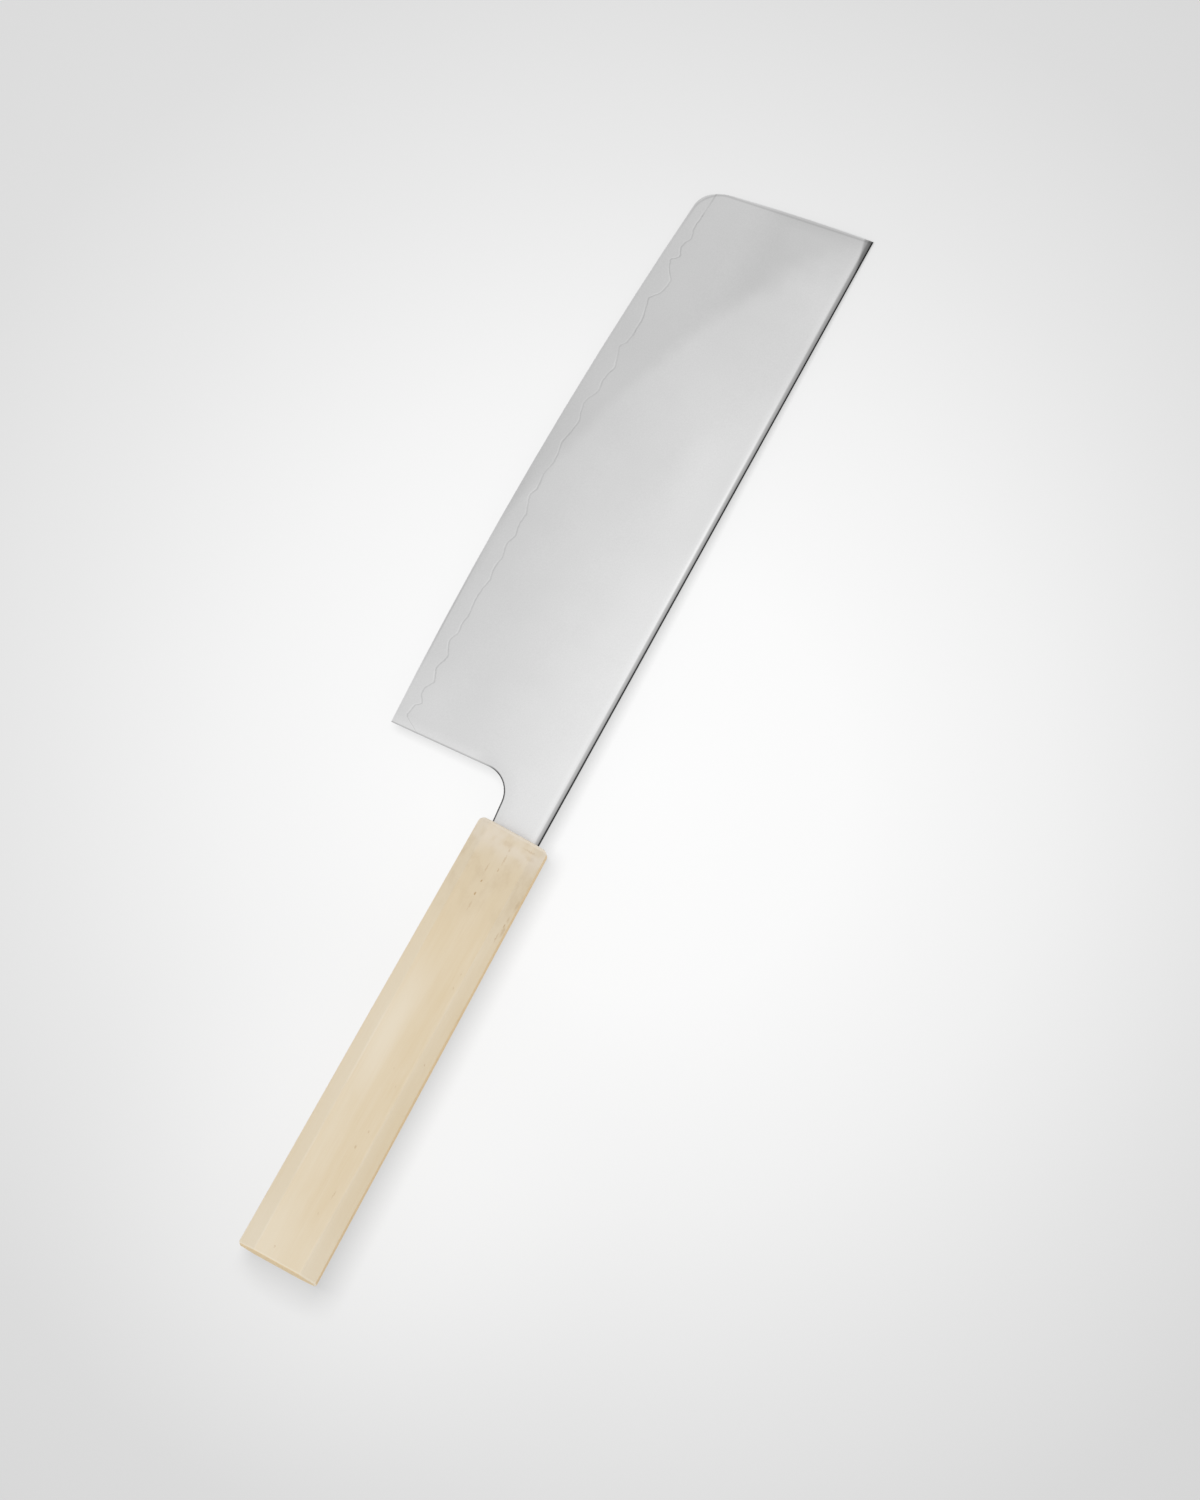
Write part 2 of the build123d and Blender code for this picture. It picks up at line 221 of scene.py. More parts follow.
# Wear and painted light on the handle: paler where the hand holds it, a painted highlight along the edges of
# its facets, its slanted facets painted paler against their shade, and paler by the butt
WORN_MIDDLE_X = (-62.0, 36.0)
WORN_MIDDLE_Y = (10.8, 6.5)
WORN_MIDDLE = 0.7
WORN_SIDE_X = (-25.0, -55.0, 0.0, 0.32)
WORN_SIDE_Y = (12.0, 7.0)
FACET_HIGHLIGHT = (231, 219, 199)
SPINE_FACET_REACH = 0.9
SPINE_FACET_STRENGTH = 0.65
EDGE_FACET_REACH = 0.5
FACET_HIGHLIGHT_BREAKS = {"size": 3.0, "along": 6.0, "seed": 9.0}
FACET_HIGHLIGHT_BREAKS_RAMP = (0.35, 0.65, 0.05, 0.6)
FACET_HIGHLIGHT_X = (-60.0, -28.0, 1.0, 0.0)
EDGE_FACET_TURN = (0.3, 0.6, 0.0, 0.3)
SPINE_FACET_TURN = (-0.3, -0.6, 0.0, 0.3)
SPINE_FACET_Y = (-3.2, 0.0, 0.3, 1.0)
NEAR_BUTT_X = (-108.0, -126.0, 0.0, 0.35)

# The handle's front: greyed and dirty from the hand, and bleached along the rim
NEAR_FRONT_X = (-34.0, -8.0)
FRONT_WOOD = (208, 193, 167)
FRONT_STRENGTH = 0.45
DIRT = (199, 179, 147)
DIRT_PATCHES = {"size": 3.2, "detail": 4.0, "roughness": 0.6, "along": 1.6, "seed": 12.0}
DIRT_RAMP = (0.42, 0.7, 0.0, 0.55)
BLEACHED = (221, 209, 191)
BLEACHED_X = (-11.0, -3.0)
BLEACHED_PATCHES = {"size": 4.0, "seed": 21.0}
BLEACHED_RAMP = (0.35, 0.6, 0.35, 0.85)
FRONT_RIM_WOOD = (232, 220, 202)
FRONT_RIM_WOOD_X = (-1.1, -0.5)
FRONT_RIM_STRENGTH = 0.7

# The handle's sides and end: by how far the surface turns to them; the sides' yellow is partly the side
# grain's colour and partly painted shade, and the butt's pale rim is painted light against its shade
SIDE_WOOD = (209, 172, 106)
SIDE_STRENGTH = 0.72
SPINE_SIDE_TURN = (0.8, 0.97)
EDGE_SIDE_TURN = (0.8, 0.97, 0.0, 0.5)
PALE_RIM = (238, 227, 206)
PALE_RIM_STRENGTH = 0.45
PALE_RIM_TURN = (0.1, 0.3)
GOLD_RIM = (232, 194, 122)
GOLD_RIM_STRENGTH = 0.65
GOLD_RIM_TURN = (0.68, 0.86)
GOLD_RIM_Y = (-1.5, 0.0)
RIM_END_TURN = (0.98, 0.9)
END_GRAIN = (229, 201, 149)
END_GRAIN_STRENGTH = 0.8
END_GRAIN_TURN = (0.9, 0.98)
END_RING = (186, 150, 98)
END_RINGS = {"size": 1.1, "detail": 3.0, "seed": 15.0}
END_RING_RAMP = (0.35, 0.65, 0.0, 0.3)

# Small dark marks in the handle's wood: x, y, length along the grain, width, and how dark from 0 to 1
FLECKS = [
    (-19.25, 8.42, 1.1, 0.35, 0.9),
    (-15.55, 8.52, 0.8, 0.4, 1.0),
    (-23.05, -2.48, 1.2, 0.3, 1.0),
    (-26.85, -2.18, 3.2, 0.25, 0.6),
    (-10.75, 6.02, 1.4, 0.3, 0.6),
    (-7.65, 5.82, 3.4, 0.5, 0.35),
    (-3.55, 7.12, 1.8, 3.4, 0.2),
    (-2.55, 1.02, 0.5, 4.4, 0.35),
    (-4.25, 0.12, 1.2, 3.0, 0.15),
    (-11.65, 8.92, 2.8, 0.4, 0.4),
    (-22.85, 8.12, 3.2, 0.4, 0.3),
    (-12.85, -3.98, 2.4, 0.6, 0.6),
    (-16.55, -2.88, 3.0, 0.8, 0.3),
    (-4.85, 5.92, 1.6, 0.4, 0.35),
    (-24.65, -2.88, 3.4, 0.9, 0.4),
    (-21.05, -2.68, 2.2, 0.6, 0.35),
    (-44.35, 1.12, 0.8, 0.35, 0.45),
    (-40.15, 1.12, 0.6, 0.3, 0.35),
    (-65.95, -1.98, 0.6, 0.35, 0.6),
    (-70.65, 4.62, 0.6, 0.3, 0.35),
    (-74.75, 1.92, 0.7, 0.3, 0.4),
    (-88.85, 2.42, 1.0, 0.5, 0.4),
    (-93.95, 3.52, 1.0, 0.5, 0.45),
    (-108.05, 2.32, 3.0, 0.3, 0.45),
    (-114.35, 3.52, 0.8, 0.3, 0.35),
    (-127.55, 9.42, 0.8, 0.4, 0.4),
]
FLECK_WANDER_X = {"size": 0.5, "amount": 0.35, "detail": 3.0, "seed": 4.0}
FLECK_WANDER_Y = {"size": 0.5, "amount": 0.18, "detail": 3.0, "seed": 7.0}
FLECK_FADE = (0.35, 1.25)
FLECK_SIDE_Z = (0.0, 2.0)
FLECK_WOOD = (165, 125, 65)
FLECK_STRENGTH = 0.75

# The split dowel's soft wood
DOWEL_PALE = (222, 202, 160)
DOWEL_DEEP = (196, 170, 120)
DOWEL_STREAKS = {"size": 1.0, "detail": 4.0, "along": 25.0}
DOWEL_RAMP = (0.3, 0.7)
DOWEL_ROUGHNESS = 0.7
DOWEL_RELIEF = 0.05

# The resin in the mouth of the bore
RESIN = (128, 96, 62)
RESIN_DUST = (150, 120, 84)
DUST = {"size": 0.6, "detail": 3.0}
DUST_RAMP = (0.4, 0.7)
RESIN_ROUGHNESS = 0.32
RESIN_RELIEF = 0.01

mounts = {mount["name"]: mount for mount in frame["record"]["mounts"]}
tip_way = -Vector(mounts["butt_end"]["axis"]).normalized()
edge_way = -Vector(mounts["spine"]["axis"]).normalized()
face_way = tip_way.cross(edge_way)
butt = Vector(mounts["butt_end"]["pos_m"])
knife_origin = butt + (tip_way * HANDLE_LENGTH - edge_way * HANDLE_AXIS_Y) * MM
knife = Matrix.Translation(knife_origin) @ Matrix((tip_way, edge_way, face_way)).transposed().to_4x4()


def on_knife(x, y, z=0.0):
    """A place in the knife's own millimetres, in metres in the frame."""
    return knife @ (Vector((x, y, z)) * MM)


def screen(colour):
    """A colour as it shows on screen, from 0 to 255, as the shader wants it."""
    return tuple((level / SCREEN_WHITE) ** SCREEN_GAMMA for level in colour) + (1.0,)


class Nodes:
    """A node tree, with a call for each kind of node."""

    def __init__(self, tree):
        self.tree = tree

    def node(self, kind, **settings):
        made = self.tree.nodes.new(kind)
        for name, value in settings.items():
            setattr(made, name, value)
        return made

    def link(self, source, target):
        self.tree.links.new(source, target)

    def feed(self, socket, value):
        if isinstance(value, bpy.types.NodeSocket):
            self.link(value, socket)
        else:
            socket.default_value = value

    def calc(self, operation, first, second=0.0):
        made = self.node("ShaderNodeMath", operation=operation)
        self.feed(made.inputs[0], first)
        self.feed(made.inputs[1], second)
        return made.outputs["Value"]

    def total(self, *values):
        result = values[0]
        for value in values[1:]:
            result = self.calc("ADD", result, value)
        return result

    def product(self, *values):
        result = values[0]
        for value in values[1:]:
            result = self.calc("MULTIPLY", result, value)
        return result

    def but(self, value):
        """What is left of 1 without a value."""
        return self.calc("SUBTRACT", 1.0, value)

    def ramp(self, value, low, high, at_low=0.0, at_high=1.0, shape="SMOOTHSTEP"):
        made = self.node("ShaderNodeMapRange", interpolation_type=shape)
        self.feed(made.inputs["Value"], value)
        made.inputs["From Min"].default_value = low
        made.inputs["From Max"].default_value = high
        made.inputs["To Min"].default_value = at_low
        made.inputs["To Max"].default_value = at_high
        return made.outputs["Result"]

    def line(self, value, low, high, at_low=0.0, at_high=1.0):
        return self.ramp(value, low, high, at_low, at_high, "LINEAR")

    def spot(self, value, middle, reach):
        """1 where the value is at the middle, falling to 0 at the reach on both sides."""
        off = self.calc("ABSOLUTE", self.calc("SUBTRACT", value, middle))
        return self.ramp(off, 0.0, reach, 1.0, 0.0)

    def curve(self, value, points):
        """A value through points whose two numbers run from 0 to 1."""
        made = self.node("ShaderNodeFloatCurve")
        line = made.mapping.curves[0].points
        for point in points[1:-1]:
            line.new(*point)
        line[0].location = points[0]
        line[-1].location = points[-1]
        for point in line:
            point.handle_type = "VECTOR"
        made.mapping.update()
        self.feed(made.inputs["Value"], value)
        return made.outputs["Value"]

    def blend(self, share, first, second):
        """From one number to another by a share."""
        made = self.node("ShaderNodeMix", data_type="FLOAT")
        self.feed(made.inputs["Factor"], share)
        self.feed(made.inputs[2], first)
        self.feed(made.inputs[3], second)
        return made.outputs[0]

    def length(self, first, second):
        made = self.node("ShaderNodeVectorMath", operation="LENGTH")
        pair = self.node("ShaderNodeCombineXYZ")
        self.feed(pair.inputs["X"], first)
        self.feed(pair.inputs["Y"], second)
        self.link(pair.outputs["Vector"], made.inputs[0])
        return made.outputs["Value"]


class Paint(Nodes):
    """A procedural material, with x, y and z in the knife's millimetres."""

    def __init__(self, name):
        self.material = bpy.data.materials.new(name)
        self.material.use_nodes = True
        super().__init__(self.material.node_tree)
        self.principled = self.tree.nodes["Principled BSDF"]
        self.coordinates = self.node("ShaderNodeTexCoord")
        to_knife = self.node("ShaderNodeMapping", vector_type="TEXTURE")
        to_knife.inputs["Location"].default_value = knife.translation
        to_knife.inputs["Rotation"].default_value = knife.to_euler()
        to_knife.inputs["Scale"].default_value = (MM, MM, MM)
        self.link(self.coordinates.outputs["Object"], to_knife.inputs["Vector"])
        self.place = to_knife.outputs["Vector"]
        parts = self.node("ShaderNodeSeparateXYZ")
        self.link(self.place, parts.inputs["Vector"])
        self.x, self.y, self.z = parts.outputs

    def noise(self, size, detail=2.0, roughness=0.5, along=1.0, seed=0.0):
        """Noise from 0 to 1 with lumps of a size in millimetres, drawn out along the knife by a share."""
        stretch = self.node("ShaderNodeMapping")
        stretch.inputs["Location"].default_value = (seed, seed, seed)
        stretch.inputs["Scale"].default_value = (1 / (size * along), 1 / size, 1 / size)
        self.link(self.place, stretch.inputs["Vector"])
        made = self.node("ShaderNodeTexNoise")
        self.link(stretch.outputs["Vector"], made.inputs["Vector"])
        made.inputs["Scale"].default_value = 1.0
        made.inputs["Detail"].default_value = detail
        made.inputs["Roughness"].default_value = roughness
        return made.outputs["Fac"]

    def sway(self, size, amount, **settings):
        """Noise about 0 that reaches an amount to each side."""
        return self.line(self.noise(size, **settings), *NOISE_RANGE, -amount, amount)

    def mix(self, share, first, second):
        """From one colour to another by a share."""
        made = self.node("ShaderNodeMix", data_type="RGBA")
        self.feed(made.inputs["Factor"], share)
        self.feed(made.inputs[6], first)
        self.feed(made.inputs[7], second)
        return made.outputs[2]

    def tint(self, share, first, colour):
        """From a colour to one that is given as it shows on screen, by a share."""
        return self.mix(share, first, screen(colour))

    def facing(self, way):
        """How far the surface turns towards a way in the frame, from -1 to 1."""
        made = self.node("ShaderNodeVectorMath", operation="DOT_PRODUCT")
        self.link(self.coordinates.outputs["Normal"], made.inputs[0])
        made.inputs[1].default_value = way
        return made.outputs["Value"]

    def grey(self, level):
        """A grey as it shows on screen, from 0 to 255, as a shader colour."""
        shade = self.calc("POWER", self.calc("DIVIDE", level, SCREEN_WHITE), SCREEN_GAMMA)
        made = self.node("ShaderNodeCombineColor")
        for socket in made.inputs:
            self.link(shade, socket)
        return made.outputs["Color"]

    def past(self, point, way):
        """How far a place lies past a point on the face, along a way in the face."""
        return self.total(
            self.product(self.calc("SUBTRACT", self.x, point[0]), way[0]),
            self.product(self.calc("SUBTRACT", self.y, point[1]), way[1]),
        )

    def from_round_corner(self, first, second, radius):
        """The distance from two sides that meet in a round corner, from the distances to each."""
        first_short = self.calc("MAXIMUM", self.calc("SUBTRACT", radius, first), 0.0)
        second_short = self.calc("MAXIMUM", self.calc("SUBTRACT", radius, second), 0.0)
        return self.calc("SUBTRACT", radius, self.length(first_short, second_short))

    def finish(self, colour, roughness, metallic=0.0):
        self.feed(self.principled.inputs["Base Color"], colour)
        self.feed(self.principled.inputs["Roughness"], roughness)
        self.principled.inputs["Metallic"].default_value = metallic

    def relief(self, height, depth):
        """Bumps of a depth in millimetres."""
        made = self.node("ShaderNodeBump")
        made.inputs["Strength"].default_value = 1.0
        made.inputs["Distance"].default_value = depth * MM
        self.link(height, made.inputs["Height"])
        self.link(made.outputs["Normal"], self.principled.inputs["Normal"])


def edge_share(paint):
    """How far along the edge a place lies, from 0 at the heel to 1 at the nose."""
    return paint.line(paint.x, HEEL_X, NOSE_X)


def above_edge(paint):
    """The height of a place above the cutting edge, which bellies out between the heel and the nose."""
    share = edge_share(paint)
    rest = paint.but(share)
    chord = paint.total(paint.product(rest, HEEL_DEPTH), paint.product(share, NOSE_DEPTH))
    edge = paint.total(chord, paint.product(share, rest, 4 * EDGE_BELLY))
    return paint.calc("SUBTRACT", edge, paint.y)


def line_rise(paint, shares):
    """The height of a lamination line above the edge, as a share of TALLEST_SHARE."""
    return paint.curve(edge_share(paint), [(along, rise / TALLEST_SHARE) for along, rise in shares])


def above_line(paint):
    """The height of a place above the lamination line of its face, below 0 on the core steel."""
    on_left = paint.ramp(paint.z, *FACE_CHANGE)
    left = paint.product(line_rise(paint, LEFT_LINE_SHARES), on_left)
    right = paint.product(line_rise(paint, RIGHT_LINE_SHARES), paint.but(on_left))
    rise = paint.product(paint.total(left, right), TALLEST_SHARE * CORE_SHOWN)
    return paint.calc("SUBTRACT", above_edge(paint), rise)


def inside_nose(paint):
    """The distance from the outline along the edge and the front."""
    lean = Vector((NOSE_DEPTH, FRONT_LEAN)).normalized()
    from_front = paint.product(paint.past((SPINE_LENGTH, 0.0), lean), -1.0)
    return paint.from_round_corner(from_front, above_edge(paint), NOSE_ROUND)


def inside_choil(paint):
    """The distance from the outline along the neck, the choil and the back of the heel."""
    corner = Vector((CHOIL_X, NECK_DEPTH + NECK_FLARE))
    neck = (corner - Vector((0, NECK_DEPTH))).normalized()
    back = (Vector((HEEL_X, HEEL_DEPTH)) - corner).normalized()
    below_neck = paint.past(corner, (-neck.y, neck.x))
    behind_heel = paint.past(corner, (-back.y, back.x))
    into_gap = paint.from_round_corner(below_neck, behind_heel, CHOIL_RADIUS)
    return paint.product(into_gap, -1.0)


def face_grey(paint):
    """The grey of the polished faces, a painted reflection: palest along the spine by the neck, darker to the
    edge and tip, with a painted shade cloud and a painted sheen.
    """
    grey = paint.line(paint.y, *SPINE_TO_EDGE)
    to_tip = paint.product(paint.ramp(paint.x, *TIP_SHADE_X), paint.line(paint.y, *TIP_SHADE_Y))
    to_front = paint.product(paint.ramp(paint.x, *FRONT_SHADE_X), paint.ramp(paint.y, *FRONT_SHADE_Y))
    shade_cloud_start = paint.calc("SUBTRACT", SHADE_CLOUD_START, paint.product(paint.y, paint.y, SHADE_CLOUD_BEND))
    past_shade_cloud = paint.total(paint.x, paint.product(shade_cloud_start, -1.0), paint.sway(**SHADE_CLOUD_SWAY))
    shade_cloud = paint.product(paint.ramp(past_shade_cloud, *SHADE_CLOUD_RISE), paint.ramp(paint.y, *SHADE_CLOUD_Y))
    sheen = paint.product(paint.spot(paint.x, *SHEEN_X), paint.spot(paint.y, *SHEEN_Y), SHEEN_LIGHT)
    patches = paint.sway(**PATCH_SWAY)
    grain = paint.sway(**GRAIN_SWAY)
    return paint.total(grey, to_tip, to_front, shade_cloud, sheen, patches, grain)


def line_grey(paint, line_height):
    """What the lamination line and the painted glint beside it add to the grey."""
    strength = paint.ramp(paint.noise(**LINE_PLACES), *LINE_STRENGTH)
    dark = paint.product(paint.spot(line_height, *LINE_WIDTH), strength, LINE_SHADE)
    glint_strength = paint.ramp(paint.noise(**GLINT_PLACES), *GLINT_STRENGTH)
    glint = paint.product(paint.spot(line_height, *GLINT_WIDTH), glint_strength, GLINT_LIGHT)
    return paint.total(dark, glint)


def rim_grey(paint, from_rim, from_choil):
    """The painted shade and painted light that the blade's rims and the neighbourhood of its spine add to the
    grey: painted shade along the front, the edge, the bevel, the tip, the choil and the spine by the tip and
    neck, painted light by the heel, and a painted highlight along the spine.
    """
    front = paint.product(paint.spot(from_rim, *FRONT_RIM), paint.ramp(paint.x, *FRONT_RIM_X), RIM_SHADE)
    edge = paint.product(paint.spot(from_rim, *EDGE_RIM), paint.spot(paint.x, *EDGE_RIM_X), RIM_SHADE)
    # Painted shade in a band along the bevel inside the edge
    bevel_shade = paint.product(paint.ramp(from_rim, *BEVEL_SHADE_BAND), paint.spot(paint.x, *BEVEL_SHADE_BAND_X))
    tip = paint.product(paint.ramp(from_rim, *TIP_BAND), paint.ramp(paint.y, *TIP_BAND_Y))
    heel = paint.product(paint.ramp(from_choil, *HEEL_BAND), paint.ramp(paint.y, *HEEL_BAND_Y))
    choil = paint.product(paint.ramp(from_choil, *CHOIL_BAND), paint.ramp(paint.y, *CHOIL_BAND_Y))
    heel_side = paint.product(paint.ramp(paint.x, *HEEL_SIDE_X), paint.ramp(paint.y, *HEEL_SIDE_Y))
    in_stripe = paint.product(paint.spot(paint.x, *LIGHT_STRIPE_X), paint.spot(paint.y, *LIGHT_STRIPE_Y))
    light_stripe = paint.product(in_stripe, LIGHT_STRIPE)
    tip_stripe = paint.product(paint.ramp(paint.x, *TIP_STRIPE_X), paint.ramp(paint.y, *TIP_STRIPE_Y))
    by_neck = paint.product(paint.ramp(paint.x, *NECK_STRIPE_X), paint.spot(paint.y, *NECK_STRIPE_Y))
    neck_stripe = paint.product(by_neck, NECK_STRIPE)
    return paint.total(
        front, edge, bevel_shade, tip, heel, choil, heel_side, light_stripe, tip_stripe, neck_stripe
    )


def turned_away(paint, from_choil):
    """Painted shade on the steel where it turns away: how bright it stays over the spine, in the choil, at
    the tip and sides.
    """
    over_spine = paint.curve(paint.line(paint.y, *SPINE_BAND), SPINE_LIGHT_SHARES)
    in_choil = paint.product(paint.ramp(from_choil, *CHOIL_DARK), paint.ramp(paint.y, *CHOIL_DARK_Y))
    corner_edge = paint.line(paint.x, CORNER_X, SPINE_LENGTH, 0.0, CORNER_WIDTH)
    past_corner = paint.calc("SUBTRACT", paint.y, corner_edge)
    near_tip = paint.ramp(paint.x, CORNER_X, CORNER_X + CORNER_FADE)
    in_corner = paint.product(paint.ramp(past_corner, *CORNER_DARK), near_tip)
    on_side = paint.ramp(paint.calc("ABSOLUTE", paint.facing(face_way)), *SIDE_SHADE)
    return paint.product(over_spine, STEEL_BRIGHTNESS, paint.but(in_choil), paint.but(in_corner), on_side)


def steel(name, roughness):
    """Satin steel with a fine grain, the wavy lamination line, greys painted as its reflection, and painted
    shade on the rims where they turn away.
    """
    paint = Paint(name)
    from_choil = inside_choil(paint)
    line_height = paint.total(above_line(paint), paint.sway(**LINE_SWAY))
    lines = line_grey(paint, line_height)
    rims = rim_grey(paint, inside_nose(paint), from_choil)
    level = paint.product(paint.total(face_grey(paint), lines, rims), turned_away(paint, from_choil))
    grain = paint.noise(**STEEL_GRAIN)
    spread = (roughness - ROUGHNESS_SPREAD, roughness + ROUGHNESS_SPREAD)
    paint.finish(paint.grey(level), paint.ramp(grain, *STEEL_GRAIN_RANGE, *spread), 1.0)
    paint.relief(paint.total(grain, paint.ramp(line_height, *LINE_STEP)), STEEL_RELIEF)
    return paint.material


def plain_wood(paint, fibres):
    """Pale close-grained wood with long streaks, broad lumps and fine fibres."""
    colour = paint.mix(paint.ramp(paint.noise(**STREAKS), *STREAK_RAMP), screen(PALE_WOOD), screen(DEEP_WOOD))
    colour = paint.tint(paint.ramp(paint.noise(**LUMPS), *LUMP_RAMP), colour, DEEP_WOOD)
    return paint.tint(paint.ramp(fibres, *FIBRE_RAMP), colour, FIBRE_WOOD)


def wear_and_painted_light(paint, colour):
    """The wear from the hand, the painted highlight along the edges between the facets, the facets painted
    paler against their shade, and the paler butt.
    """
    middle = paint.product(paint.spot(paint.x, *WORN_MIDDLE_X), paint.spot(paint.y, *WORN_MIDDLE_Y))
    side = paint.product(paint.ramp(paint.x, *WORN_SIDE_X), paint.spot(paint.y, *WORN_SIDE_Y))
    colour = paint.tint(paint.calc("MAXIMUM", paint.product(middle, WORN_MIDDLE), side), colour, COOL_WOOD)
    # A painted highlight along the edges between the facets, broken in places
    spine_line = paint.spot(paint.y, HANDLE_AXIS_Y - FLAT_WIDTH / 2, SPINE_FACET_REACH)
    edge_line = paint.spot(paint.y, HANDLE_AXIS_Y + FLAT_WIDTH / 2, EDGE_FACET_REACH)
    facet_line = paint.calc("MAXIMUM", paint.product(spine_line, SPINE_FACET_STRENGTH), edge_line)
    highlight_breaks = paint.ramp(paint.noise(**FACET_HIGHLIGHT_BREAKS), *FACET_HIGHLIGHT_BREAKS_RAMP)
    facet_line = paint.product(facet_line, highlight_breaks, paint.ramp(paint.x, *FACET_HIGHLIGHT_X))
    colour = paint.tint(facet_line, colour, FACET_HIGHLIGHT)
    # The slanted facets are painted paler against their shade
    to_edge = paint.facing(edge_way)
    spine_facet = paint.product(paint.ramp(to_edge, *SPINE_FACET_TURN), paint.ramp(paint.y, *SPINE_FACET_Y))
    colour = paint.tint(paint.total(paint.ramp(to_edge, *EDGE_FACET_TURN), spine_facet), colour, COOL_WOOD)
    return paint.tint(paint.ramp(paint.x, *NEAR_BUTT_X), colour, COOL_WOOD)


def dirty_front(paint, colour):
    """The grey dirt near the handle's front, and its bleached rim."""
    near_front = paint.ramp(paint.x, *NEAR_FRONT_X)
    colour = paint.tint(paint.product(near_front, FRONT_STRENGTH), colour, FRONT_WOOD)
    dirt = paint.ramp(paint.noise(**DIRT_PATCHES), *DIRT_RAMP)
    colour = paint.tint(paint.product(near_front, dirt), colour, DIRT)
    patches = paint.ramp(paint.noise(**BLEACHED_PATCHES), *BLEACHED_RAMP)
    bleached = paint.product(paint.ramp(paint.x, *BLEACHED_X), patches)
    colour = paint.tint(bleached, colour, BLEACHED)
    rim = paint.product(paint.ramp(paint.x, *FRONT_RIM_WOOD_X), FRONT_RIM_STRENGTH)
    return paint.tint(rim, colour, FRONT_RIM_WOOD)


def fleck_mask(paint):
    """Where the small dark marks are, from 0 to 1, each with a ragged outline."""
    wander_x = paint.total(paint.x, paint.sway(**FLECK_WANDER_X))
    wander_y = paint.total(paint.y, paint.sway(**FLECK_WANDER_Y))
    mask = 0.0
    for x, y, length, width, dark in FLECKS:
        along = paint.product(paint.calc("SUBTRACT", wander_x, x), 2 / length)
        over = paint.product(paint.calc("SUBTRACT", wander_y, y), 2 / width)
        mask = paint.calc("MAXIMUM", mask, paint.ramp(paint.length(along, over), *FLECK_FADE, dark, 0.0))
    return paint.product(mask, paint.ramp(paint.z, *FLECK_SIDE_Z))


def handle_sides(paint, colour):
    """The yellower sides, partly painted shade, and the butt's rim painted pale against its shade, its golden
    line and end grain with its rings.
    """
    # The sides' yellow by facing is partly painted shade
    to_edge = paint.facing(edge_way)
    spine_side = paint.ramp(paint.product(to_edge, -1.0), *SPINE_SIDE_TURN)
    sides = paint.calc("MAXIMUM", spine_side, paint.ramp(to_edge, *EDGE_SIDE_TURN))
    colour = paint.tint(paint.product(sides, SIDE_STRENGTH), colour, SIDE_WOOD)
    to_butt = paint.product(paint.facing(tip_way), -1.0)
    before_end = paint.ramp(to_butt, *RIM_END_TURN)
    # The butt's rim is painted pale against its own shade
    pale = paint.product(paint.ramp(to_butt, *PALE_RIM_TURN), before_end)
    colour = paint.tint(paint.product(pale, PALE_RIM_STRENGTH), colour, PALE_RIM)
    gold = paint.product(paint.ramp(to_butt, *GOLD_RIM_TURN), paint.ramp(paint.y, *GOLD_RIM_Y), before_end)
    colour = paint.tint(paint.product(gold, GOLD_RIM_STRENGTH), colour, GOLD_RIM)
    end = paint.ramp(to_butt, *END_GRAIN_TURN)
    colour = paint.tint(paint.product(end, END_GRAIN_STRENGTH), colour, END_GRAIN)
    rings = paint.ramp(paint.noise(**END_RINGS), *END_RING_RAMP)
    return paint.tint(paint.product(end, rings), colour, END_RING)


def handle_wood(name):
    """Smooth pale wood, a little uneven, with pits, a dirty front, painted highlights that make the facet
    edges paler, and painted light and shade on its facets, sides and butt rim.
    """
    paint = Paint(name)
    fibres = paint.noise(**FIBRES)
    marks = fleck_mask(paint)
    colour = dirty_front(paint, wear_and_painted_light(paint, plain_wood(paint, fibres)))
    colour = paint.tint(paint.product(marks, FLECK_STRENGTH), colour, FLECK_WOOD)
    paint.finish(handle_sides(paint, colour), paint.ramp(fibres, *WOOD_ROUGHNESS))
    height = paint.total(paint.product(fibres, FIBRE_HEIGHT), paint.product(marks, PIT_HEIGHT))
    paint.relief(height, WOOD_RELIEF)
    return paint.material


def dowel_wood(name):
    """Coarser soft wood for the split dowel."""
    paint = Paint(name)
    streaks = paint.noise(**DOWEL_STREAKS)
    colour = paint.mix(paint.ramp(streaks, *DOWEL_RAMP), screen(DOWEL_PALE), screen(DOWEL_DEEP))
    paint.finish(colour, DOWEL_ROUGHNESS)
    paint.relief(streaks, DOWEL_RELIEF)
    return paint.material


def seal_resin(name):
    """Hard brown resin with a little dust in it."""
    paint = Paint(name)
    dust = paint.noise(**DUST)
    colour = paint.mix(paint.ramp(dust, *DUST_RAMP), screen(RESIN), screen(RESIN_DUST))
    paint.finish(colour, RESIN_ROUGHNESS)
    paint.relief(dust, RESIN_RELIEF)
    return paint.material


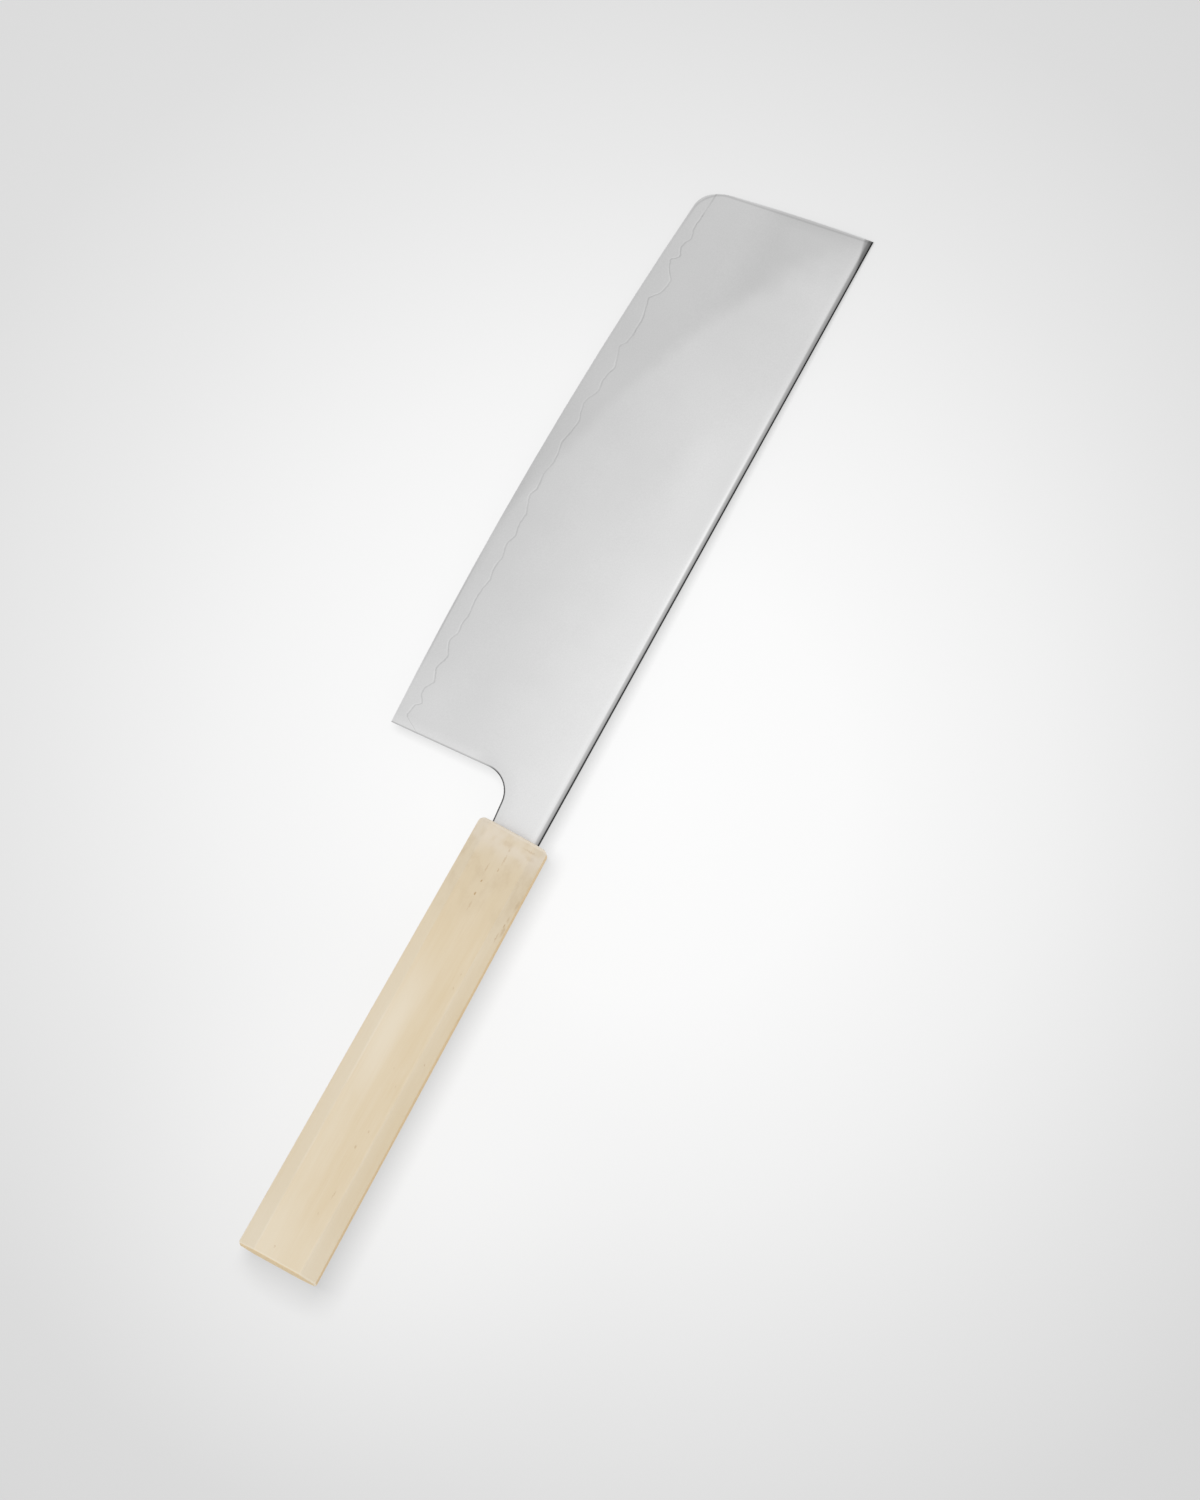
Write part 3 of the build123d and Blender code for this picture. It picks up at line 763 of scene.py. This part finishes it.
def floor_paint(name):
    """Pale, with a painted pool of light round the knife and more painted light round its butt, and giving
    back some light of its own under the shadow.
    """
    paint = Paint(name)
    across = paint.past(FLOOR_CENTRE, (math.cos(KNIFE_ANGLE), -math.sin(KNIFE_ANGLE)))
    upwards = paint.past(FLOOR_CENTRE, (math.sin(KNIFE_ANGLE), math.cos(KNIFE_ANGLE)))
    away = paint.length(across, paint.product(upwards, FLOOR_UPWARD_SHARE))
    level = paint.curve(paint.line(away, 0.0, FLOOR_REACH), FLOOR_LEVEL_SHARES)
    # Painted light round the butt, lightening the shadow there
    from_butt = paint.length(paint.calc("SUBTRACT", paint.x, BUTT_LIGHT_X), paint.y)
    level = paint.product(level, paint.ramp(from_butt, *BUTT_LIGHT))
    paint.finish(paint.product(level, FLOOR_MATT), 1.0)
    paint.principled.inputs["Specular IOR Level"].default_value = 0.0
    paint.feed(paint.principled.inputs["Emission Color"], level)
    paint.principled.inputs["Emission Strength"].default_value = FLOOR_GLOW
    return paint.material


def dress(node, material):
    """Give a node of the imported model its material."""
    slots = nodes[node].data.materials
    slots.clear()
    slots.append(material)


def make_camera():
    """A camera that looks down on the knife, leaning a little so that the handle's spine side just shows."""
    lean = Matrix.Rotation(CAMERA_LEAN, 3, Vector((1, 0, 0)))
    axes = Matrix([lean @ axis for axis in (photo_right, photo_up, overhead)]).transposed()
    data = bpy.data.cameras.new("camera")
    data.type = "ORTHO"
    data.ortho_scale = PHOTO_HEIGHT * MM_PER_PIXEL * MM
    camera = bpy.data.objects.new("camera", data)
    bpy.context.scene.collection.objects.link(camera)
    bpy.context.scene.camera = camera
    camera.matrix_world = Matrix.Translation(view_point + lean @ overhead * CAMERA_HEIGHT) @ axes.to_4x4()


def make_floor():
    """A level floor under the knife, far larger than the picture."""
    bpy.ops.mesh.primitive_plane_add(size=FLOOR_SIZE)
    floor = bpy.context.object
    floor.name = "floor"
    floor.data.materials.append(floor_paint("floor"))
    return floor


def make_lamp(name, watts):
    """A large light overhead, square to the knife, towards the side of its edge and a little to its tip."""
    data = bpy.data.lights.new(name, "AREA")
    data.shape = "RECTANGLE"
    data.size = LAMP_LENGTH
    data.size_y = LAMP_WIDTH
    data.energy = watts
    lamp = bpy.data.objects.new(name, data)
    bpy.context.scene.collection.objects.link(lamp)
    aside = level_edge_way * LAMP_TO_EDGE + level_tip_way * LAMP_TO_TIP
    lamp.location = view_point + aside + overhead * LAMP_HEIGHT
    lamp.rotation_euler = (0, 0, math.atan2(level_tip_way.y, level_tip_way.x))
    lamp.visible_glossy = False
    return lamp


def light_only(lamp, thing):
    """Let a lamp light one thing alone."""
    lit = bpy.data.collections.new("lit_by_" + lamp.name)
    lit.objects.link(thing)
    lamp.light_linking.receiver_collection = lit


def make_world():
    """Even light for the matt surfaces, and for polished ones a pale room, darker towards the horizon."""
    world = bpy.data.worlds.new("studio")
    bpy.context.scene.world = world
    world.use_nodes = True
    studio = Nodes(world.node_tree)
    path = studio.node("ShaderNodeLightPath")
    direction = studio.node("ShaderNodeSeparateXYZ")
    studio.link(studio.node("ShaderNodeTexCoord").outputs["Generated"], direction.inputs["Vector"])
    room = studio.ramp(direction.outputs["Z"], *ROOM_RISE, ROOM_AT_HORIZON, ROOM_OVERHEAD)
    polished = studio.calc("MAXIMUM", path.outputs["Is Glossy Ray"], path.outputs["Is Transmission Ray"])
    light = studio.blend(polished, WORLD_LIGHT, room)
    background = world.node_tree.nodes["Background"]
    background.inputs["Color"].default_value = WHITE
    studio.link(studio.blend(path.outputs["Is Camera Ray"], light, WORLD_SEEN), background.inputs["Strength"])


cladding_steel = steel("cladding_steel", CLADDING_ROUGHNESS)
dress("cladding_left", cladding_steel)
dress("cladding_right", cladding_steel)
dress("core_steel", steel("core_steel", CORE_ROUGHNESS))
dress("handle", handle_wood("handle_wood"))
soft_dowel = dowel_wood("dowel_wood")
dress("tang_dowel_left", soft_dowel)
dress("tang_dowel_right", soft_dowel)
dress("mouth_seal", seal_resin("seal_resin"))

view_point = on_knife(*PHOTO_CENTRE)
photo_right = Vector((math.cos(KNIFE_ANGLE), -math.sin(KNIFE_ANGLE), 0))
photo_up = Vector((math.sin(KNIFE_ANGLE), math.cos(KNIFE_ANGLE), 0))
overhead = Vector((0, 0, 1))
level_tip_way = Vector((tip_way.x, tip_way.y, 0)).normalized()
level_edge_way = Vector((edge_way.x, edge_way.y, 0)).normalized()
make_camera()
floor = make_floor()
make_world()
make_lamp("key", KEY_WATTS)
light_only(make_lamp("floor_key", FLOOR_KEY_WATTS), floor)

bpy.context.scene.view_settings.view_transform = "Standard"
